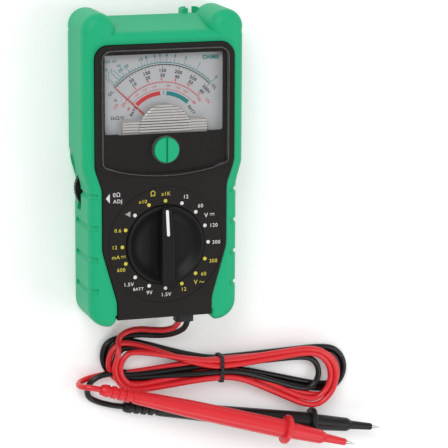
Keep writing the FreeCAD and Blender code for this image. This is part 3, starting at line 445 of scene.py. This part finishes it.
def make_cover():
    """The clear cover as a flat plate with a narrow bevel, an arched lower edge and the screw's hole."""
    low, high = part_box("window_cover")
    data = bpy.data.curves.new("clear_cover", "CURVE")
    data.dimensions = "2D"
    data.fill_mode = "BOTH"
    data.bevel_depth = COVER_BEVEL * MM
    data.bevel_resolution = 2
    data.extrude = (high.z - low.z) / 2 - COVER_BEVEL * MM
    add_loop(data, cover_outline(high))
    add_loop(data, screw_hole())
    mesh = flat_mesh(data, (low.z + high.z) / 2)
    mesh.materials.append(MATERIALS["clear_window"])
    # The bevel's faces take the lighter grey of the painted sheen.
    mesh.materials.append(MATERIALS["clear_edge_sheen"])
    for face in mesh.polygons:
        is_edge = abs(face.normal.z) < 0.99
        face.use_smooth = False
        face.material_index = int(is_edge)
    cover = bpy.data.objects.new("clear_cover", mesh)
    collection.objects.link(cover)
    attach(cover, "meter")
    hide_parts("window_cover")


def make_mask():
    """The black paint behind the cover, all round the dial's window."""
    low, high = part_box("window_cover")
    data = bpy.data.curves.new("window_mask", "CURVE")
    data.dimensions = "2D"
    data.fill_mode = "BOTH"
    add_loop(data, cover_outline(high))
    add_loop(data, screw_hole())
    add_loop(data, WINDOW)
    mesh = flat_mesh(data, low.z + MASK_GAP * MM)
    mesh.materials.append(MATERIALS["case_black"])
    mask = bpy.data.objects.new("window_mask", mesh)
    collection.objects.link(mask)
    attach(mask, "meter")


make_cover()
make_mask()


# ---------------------------------------------------------------- printed marks

# How far the prints lie above the surface that carries them.
PRINT_LIFT = 0.03
LETTER_SPACE = 1.12


class Print:
    """Flat printed marks of one colour, gathered into one mesh on one level."""

    def __init__(self, name, level):
        self.name = name
        self.level = level * MM
        self.mesh = bmesh.new()

    def shape(self, points):
        corners = [self.mesh.verts.new((x * MM, y * MM, self.level)) for x, y in points]
        self.mesh.faces.new(corners)

    def bar(self, start, end, width):
        first = Vector(start)
        last = Vector(end)
        ahead = last - first
        aside = Vector((-ahead.y, ahead.x)).normalized() * width / 2
        self.shape([first - aside, last - aside, last + aside, first + aside])

    def line(self, points, width):
        for start, end in zip(points, points[1:]):
            self.bar(start, end, width)

    def disc(self, x, y, radius, count=20):
        angles = [math.tau * step / count for step in range(count)]
        self.shape([(x + radius * math.cos(angle), y + radius * math.sin(angle)) for angle in angles])

    def text(self, words, x, y, size, turn=0.0, bold=0.0):
        """Words centred on a point, turned anticlockwise by some degrees."""
        data = bpy.data.curves.new("words", "FONT")
        data.body = words
        data.size = size * MM
        data.align_x = "CENTER"
        data.align_y = "CENTER"
        data.offset = bold * MM
        data.space_character = LETTER_SPACE
        data.resolution_u = 3
        holder = bpy.data.objects.new("words", data)
        flat = bpy.data.meshes.new_from_object(holder)
        place = Matrix.Translation((x * MM, y * MM, self.level))
        flat.transform(place @ Matrix.Rotation(math.radians(turn), 4, "Z"))
        self.mesh.from_mesh(flat)
        bpy.data.objects.remove(holder)
        bpy.data.curves.remove(data)
        bpy.data.meshes.remove(flat)

    def finish(self, material):
        data = bpy.data.meshes.new(self.name)
        self.mesh.normal_update()
        for face in self.mesh.faces:
            if face.normal.z < 0:
                face.normal_flip()
        self.mesh.to_mesh(data)
        self.mesh.free()
        data.materials.append(MATERIALS[material])
        made = bpy.data.objects.new(self.name, data)
        collection.objects.link(made)
        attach(made, "meter")


# The needle's pivot, and how far the scales reach to each side of straight up.
PIVOT = 17.5
SWEEP = 47.0
# The radii of the scales' arcs, from the outermost in.
OHM_ARC = 31.3
VOLT_ARC = 30.4
LOW_VOLT_ARC = 22.4
DECIBEL_ARC = 19.2
BATTERY_ARC = 17.4
ARC_STEPS = 48
TICK = 0.2
# The reading at which the ohm scale reaches the middle.
MIDDLE_OHMS = 4.6


def on_dial(radius, angle):
    """A point on the dial; the angle is from straight up, positive to the left."""
    turn = math.radians(angle)
    return -radius * math.sin(turn), PIVOT + radius * math.cos(turn)


def dial_arc(ink, radius, width, start, end):
    inner = radius - width / 2
    outer = radius + width / 2
    for step in range(ARC_STEPS):
        first = start + (end - start) * step / ARC_STEPS
        last = start + (end - start) * (step + 1) / ARC_STEPS
        ink.shape([on_dial(inner, first), on_dial(outer, first), on_dial(outer, last), on_dial(inner, last)])


def dial_tick(ink, low, high, angle, width):
    ink.bar(on_dial(low, angle), on_dial(high, angle), width)


def dial_text(ink, words, radius, angle, size, bold=0.0):
    x, y = on_dial(radius, angle)
    ink.text(words, x, y, size, turn=angle, bold=bold)


def volt_angle(share):
    return SWEEP - 2 * SWEEP * share


def ohm_angle(ohms):
    return volt_angle(1.0 / (1.0 + ohms / MIDDLE_OHMS))


def print_volt_scale(ink):
    """Thirty divisions inside the arc, with two rows of numbers."""
    dial_arc(ink, VOLT_ARC, 0.42, SWEEP, -SWEEP)
    outer = VOLT_ARC - 0.1
    for step in range(31):
        deep = 1.5 if step % 5 == 0 else 0.8
        dial_tick(ink, outer - deep, outer, volt_angle(step / 30), TICK)
    for step in range(1, 7):
        angle = volt_angle(step / 6)
        dial_text(ink, str(50 * step), 27.6, angle, 2.15, 0.07)
        dial_text(ink, str(10 * step), 25.4, angle, 2.1, 0.07)


def print_low_volt_scale(ink):
    """The scale of the 12 V alternating range."""
    for step in range(25):
        high = 0.9 if step % 4 == 0 else 0.55
        dial_tick(ink, LOW_VOLT_ARC, LOW_VOLT_ARC + high, volt_angle(step / 24), TICK)
    dial_arc(ink, LOW_VOLT_ARC, 0.34, SWEEP + 4, -SWEEP)
    for step in range(1, 7):
        dial_text(ink, str(2 * step), 23.9, volt_angle(step / 6 - 0.012), 1.6, 0.05)


def print_decibel_scale(ink):
    dial_arc(ink, DECIBEL_ARC, 0.22, SWEEP, -SWEEP)
    for words, angle in (("-10", 36.0), ("+10", 24.0), ("+18", 11.5),
                         ("+20", -7.0), ("+22", -20.0), ("+24", -31.0)):
        dial_tick(ink, DECIBEL_ARC, DECIBEL_ARC + 0.7, angle, TICK)
        dial_text(ink, words, 20.8, angle, 1.35, 0.03)


def print_battery_scale(weak, good):
    """Two broad bands, for a weak cell and a good one, with a question mark between them."""
    dial_arc(weak, BATTERY_ARC, 1.9, 44.0, 3.6)
    dial_arc(good, BATTERY_ARC, 1.9, -6.0, -43.0)
    dial_text(good, "?", BATTERY_ARC, -1.6, 2.2, 0.08)


def print_ohm_scale(ink):
    """Divisions outside the arc, closer and closer towards the high readings."""
    dial_arc(ink, OHM_ARC, 0.34, SWEEP, -SWEEP)
    for ohms in (0, 1, 2, 3, 4, 5, 6, 8, 10, 20, 30):
        dial_tick(ink, OHM_ARC, OHM_ARC + 2.0, ohm_angle(ohms), 0.24)
        dial_text(ink, str(ohms), 34.5, ohm_angle(ohms), 2.1, 0.06)
    for ohms in (0.2, 0.4, 0.6, 0.8, 1.2, 1.4, 1.6, 1.8, 2.5, 3.5, 4.5, 5.5,
                 7, 9, 12, 14, 16, 18, 25, 35, 50, 100):
        dial_tick(ink, OHM_ARC, OHM_ARC + 1.1, ohm_angle(ohms), TICK)
    ink.text("OHMS", 22.6, 50.4, 2.6, bold=0.12)


def print_ohm_fan(ink):
    """The crowded high readings, each led out from the scale by a bent line."""
    readings = ((40, -22.6, 45.6, "40", -20.4, 48.0), (60, -23.8, 47.0, "60", -22.4, 50.2),
                (200, -25.0, 46.4, "200", -25.8, 50.0), (1000, -26.2, 44.0, "1K", -26.6, 46.4))
    for ohms, x, top, words, text_x, text_y in readings:
        start = on_dial(OHM_ARC + 0.2, ohm_angle(ohms))
        ink.line([start, (x, start[1] + start[0] - x), (x, top)], 0.22)
        ink.text(words, text_x, text_y, 1.8, bold=0.035)


def print_dial_words(black, red):
    """The letters at both ends of the scales."""
    words = ((black, "OL", 30.2, 53.0, 2.1, 0.04), (black, "OL", 31.0, -51.6, 2.1, 0.04),
             (red, "OL", 22.2, 54.6, 1.9, 0.04), (red, "OL", 22.2, -51.4, 1.9, 0.04),
             (black, "V", 26.4, 55.6, 2.1, 0.04), (black, "V", 27.6, -52.0, 2.1, 0.04),
             (red, "12V", 24.9, 61.0, 1.9, 0.03), (red, "12V", 24.9, -58.4, 1.9, 0.03),
             (red, "dB", 19.2, 56.0, 1.6, 0.04), (red, "dB", 19.4, -50.0, 1.6, 0.04),
             (black, "BATT", 16.6, 55.0, 1.8, 0.06), (black, "BATT", 16.4, -56.0, 1.8, 0.06))
    for ink, letters, radius, angle, size, bold in words:
        dial_text(ink, letters, radius, angle, size, bold)
    black.text("2kΩ/V", -21.2, 24.4, 2.2, bold=0.04)


def print_dial():
    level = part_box("dial_plate")[1].z / MM + PRINT_LIFT
    black = Print("dial_print_black", level)
    red = Print("dial_print_red", level)
    teal = Print("dial_print_teal", level)
    print_volt_scale(black)
    print_low_volt_scale(red)
    print_decibel_scale(red)
    print_battery_scale(red, teal)
    print_ohm_scale(teal)
    print_ohm_fan(teal)
    print_dial_words(black, red)
    black.finish("dial_ink")
    red.finish("dial_red")
    teal.finish("dial_teal")


WHITE_STOPS = [1, 2, 3, 4, 8, 9, 10, 14]
YELLOW_STOPS = [0, 5, 6, 7, 11, 12, 13, 15]
STOP_ANGLE = 22.5
STOP_RING = 20.3
STOP_DOT = 0.85
# How far the printed face lies above the lowest edge of the front case.
FACE_RISE = 17.5
LETTER = 2.4
BOLD = 0.02


def stop_place(index):
    """The place of one of the sixteen stops, clockwise from the top."""
    angle = math.radians(STOP_ANGLE * index)
    return STOP_RING * math.sin(angle), KNOB_Y + STOP_RING * math.cos(angle)


def direct_mark(ink, x, y):
    """A solid bar over a broken one."""
    ink.bar((x - 1.1, y + 0.35), (x + 1.1, y + 0.35), 0.24)
    for part in (-0.85, 0.0, 0.85):
        ink.bar((x + part - 0.25, y - 0.35), (x + part + 0.25, y - 0.35), 0.24)


def buzzer_mark(ink, x, y):
    """Four upright bars that grow towards the stop's dot."""
    for step in range(4):
        across = x - 1.0 + 0.62 * step
        reach = 0.3 + 0.3 * step
        ink.bar((across, y - reach), (across, y + reach), 0.26)


def print_face():
    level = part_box("front_case")[0].z / MM + FACE_RISE + PRINT_LIFT
    white = Print("face_print_white", level)
    yellow = Print("face_print_yellow", level)
    for index in WHITE_STOPS:
        white.disc(*stop_place(index), STOP_DOT)
    for index in YELLOW_STOPS:
        yellow.disc(*stop_place(index), STOP_DOT)
    for words, x, y in (("12", 9.6, -12.4), ("60", 16.6, -17.0), ("120", 22.9, -26.4), ("300", 24.2, -34.4),
                        ("1.5V", 0.3, -57.4), ("9V", -7.6, -56.0), ("1.5V", -17.4, -51.6)):
        white.text(words, x, y, LETTER, bold=BOLD)
    white.text("BATT", -12.9, -54.0, 1.9, bold=BOLD)
    white.text("V", 19.3, -21.6, 2.9, bold=BOLD)
    direct_mark(white, 22.2, -21.2)
    white.text("0Ω", -22.9, -9.8, 2.7, bold=BOLD)
    white.text("ADJ", -22.4, -12.8, LETTER, bold=BOLD)
    white.shape([(-27.9, -11.2), (-26.1, -13.4), (-26.1, -9.0)])
    yellow.text("Ω", -5.9, -10.2, 3.4, bold=BOLD)
    for words, x, y in (("x10", -10.6, -13.6), ("x1K", 0.2, -10.5), ("300", 22.8, -43.1),
                        ("60", 18.2, -48.9), ("12", 8.7, -55.5), ("600", -20.9, -44.6),
                        ("12", -24.0, -34.0), ("0.6", -22.4, -26.3)):
        yellow.text(words, x, y, LETTER, bold=BOLD)
    yellow.text("V", 14.4, -52.6, 2.9, bold=BOLD)
    yellow.line([(16.2, -52.9), (16.7, -52.2), (17.3, -52.6), (17.9, -53.0), (18.4, -52.3)], 0.26)
    yellow.text("mA", -23.4, -38.6, 2.5, bold=BOLD)
    direct_mark(yellow, -19.9, -38.5)
    buzzer_mark(white, -17.6, -18.9)
    white.finish("print_white")
    yellow.finish("print_yellow")


print_dial()
print_face()


# ---------------------------------------------------------------- floor, light and view

FLOOR_REACH = 6.0
# How far the floor lies under the holster.
FLOOR_GAP = 0.2
FLOOR_GLOW = 0.17
WORLD_STRENGTH = 0.46
LIT_POINT = (0.0, -0.02, 0.0)


def make_floor():
    mesh = bpy.data.meshes.new("floor")
    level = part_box("holster")[0].z - FLOOR_GAP * MM
    sides = ((-1, -1), (1, -1), (1, 1), (-1, 1))
    corners = [(FLOOR_REACH * x, FLOOR_REACH * y, level) for x, y in sides]
    mesh.from_pydata(corners, [], [(0, 1, 2, 3)])
    floor = bpy.data.objects.new("floor", mesh)
    collection.objects.link(floor)
    pale = new_material("floor_pale", (0.93, 0.93, 0.93), 0.8, shade=0.005, grain=20.0, specular=0.2)
    shader = pale.node_tree.nodes["Principled BSDF"]
    shader.inputs["Emission Color"].default_value = (1.0, 1.0, 1.0, 1.0)
    shader.inputs["Emission Strength"].default_value = FLOOR_GLOW
    mesh.materials.append(pale)


def make_light(name, place, target, size, power):
    data = bpy.data.lights.new(name, "AREA")
    data.shape = "RECTANGLE"
    data.size = size[0]
    data.size_y = size[1]
    data.energy = power
    light = bpy.data.objects.new(name, data)
    collection.objects.link(light)
    light.location = place
    light.rotation_mode = "QUATERNION"
    light.rotation_quaternion = (Vector(target) - Vector(place)).to_track_quat("-Z", "Y")


def make_world():
    world = bpy.data.worlds.new("studio")
    world.use_nodes = True
    background = world.node_tree.nodes["Background"]
    background.inputs["Color"].default_value = (1.0, 1.0, 1.0, 1.0)
    background.inputs["Strength"].default_value = WORLD_STRENGTH
    bpy.context.scene.world = world


make_floor()
make_world()
make_light("key", place=(-0.55, 0.75, 1.1), target=LIT_POINT, size=(0.7, 0.7), power=9.0)
make_light("fill", place=(0.9, -0.2, 1.0), target=LIT_POINT, size=(0.8, 0.8), power=4.0)
make_light("front", place=(0.1, -1.1, 0.9), target=(0.0, -0.05, 0.0), size=(0.9, 0.6), power=3.0)
bpy.context.scene.view_settings.view_transform = "Standard"
